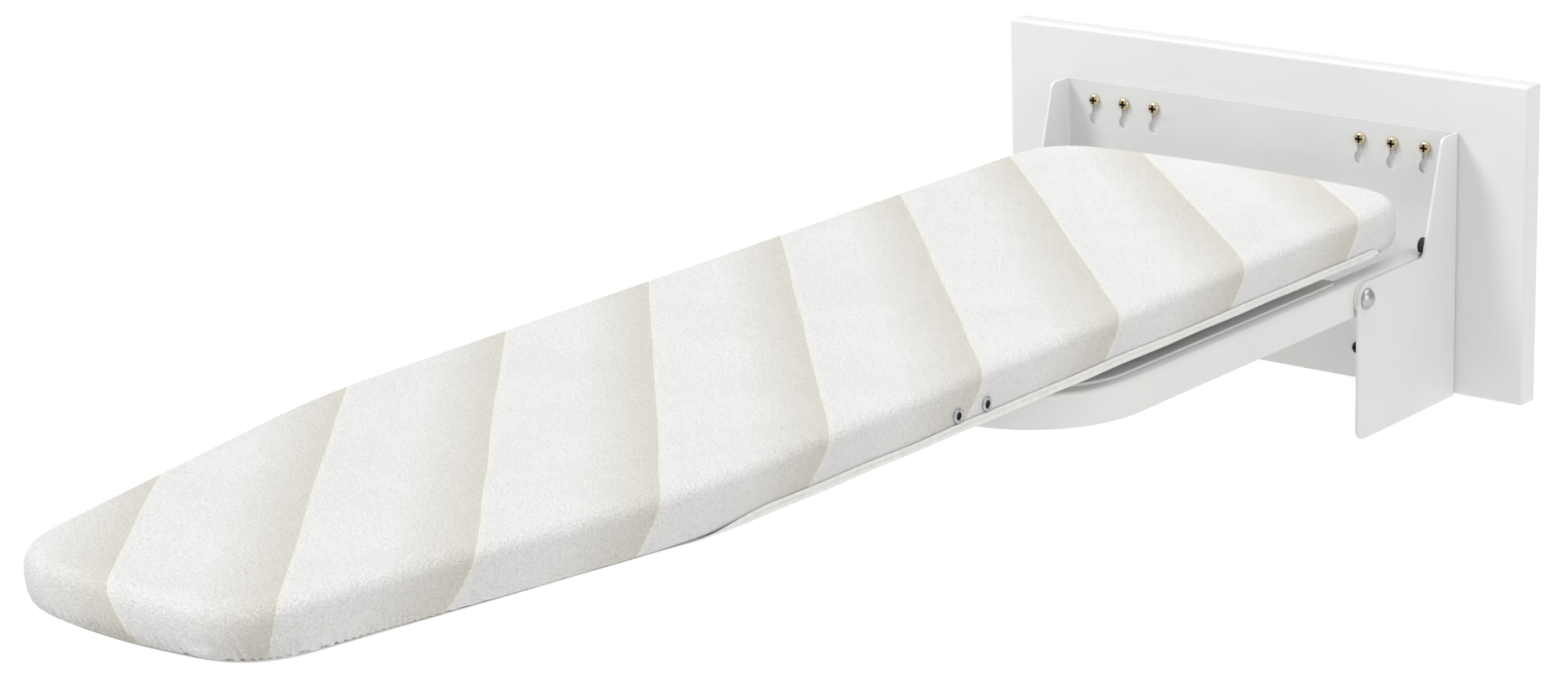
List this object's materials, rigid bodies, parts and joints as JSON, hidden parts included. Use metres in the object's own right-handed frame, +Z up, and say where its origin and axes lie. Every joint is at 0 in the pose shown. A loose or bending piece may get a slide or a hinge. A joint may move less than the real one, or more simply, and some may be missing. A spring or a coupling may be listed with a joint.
{
  "type": "wall-mounted ironing board",
  "caption": "Fold-up ironing board on a wall bracket: a swing arm folds about two side pivots and carries a padded, cloth-covered board on a central upright swivel.",
  "frame": {"origin": "centre of the back panel's rear face, which lies against the wall", "axes": "+X to the right of a person facing the wall, +Y into the wall, +Z up; the board reaches out along -Y"},
  "size_m": [0.436, 1.1253, 0.228],
  "materials": {
    "panel_paint": "smooth white lacquered board",
    "white_powder_coat": "satin white powder coat",
    "yellow_zinc": "yellow passivated zinc on steel",
    "black_zinc": "black zinc",
    "bright_zinc": "bright zinc plate",
    "nylon": "natural nylon",
    "rubber": "black rubber",
    "felt": "needled felt",
    "cotton": "plain woven cotton, white with beige diagonal bands that fade at one side",
    "elastic": "covered elastic cord"
  },
  "bodies": {
    "bracket": {"back_panel": "panel_paint", "keyhole_screw_left_1": "yellow_zinc", "keyhole_screw_left_2": "yellow_zinc", "keyhole_screw_left_3": "yellow_zinc", "keyhole_screw_right_1": "yellow_zinc", "keyhole_screw_right_2": "yellow_zinc", "keyhole_screw_right_3": "yellow_zinc", "lower_screw_left": "black_zinc", "lower_screw_right": "black_zinc", "pivot_bolt_left": "bright_zinc", "pivot_bolt_right": "bright_zinc", "pivot_bush_left": "nylon", "pivot_bush_right": "nylon", "pivot_nut_left": "bright_zinc", "pivot_nut_right": "bright_zinc", "stop_sleeve_left": "rubber", "stop_sleeve_right": "rubber", "stop_stud_left": "bright_zinc", "stop_stud_right": "bright_zinc", "wall_bracket": "white_powder_coat"},
    "arm": {"arm_deck": "white_powder_coat", "arm_frame": "white_powder_coat", "base_rivet_1": "bright_zinc", "base_rivet_2": "bright_zinc", "base_rivet_3": "bright_zinc", "base_rivet_4": "bright_zinc", "slip_disc": "nylon", "swivel_base_plate": "bright_zinc", "swivel_bolt": "bright_zinc", "swivel_nut": "bright_zinc", "swivel_washer": "bright_zinc"},
    "board": {"board_beam": "white_powder_coat", "board_pan": "white_powder_coat", "cotton_cover": "cotton", "cover_eyelet_1": "bright_zinc", "cover_eyelet_2": "bright_zinc", "felt_pad": "felt", "hem_elastic": "elastic", "swivel_top_plate": "bright_zinc"}
  },
  "joints": [
    {"name": "arm_fold", "type": "hinge", "parent": "bracket", "child": "arm", "pos_m": [0, -0.1393, -0.015], "axis": [-1, 0, 0], "range_deg": [0, 90]},
    {"name": "board_swivel", "type": "hinge", "parent": "arm", "child": "board", "pos_m": [0, -0.4083, 0.0039], "axis": [0, 0, 1], "range_deg": [-90, 90]}
  ]
}
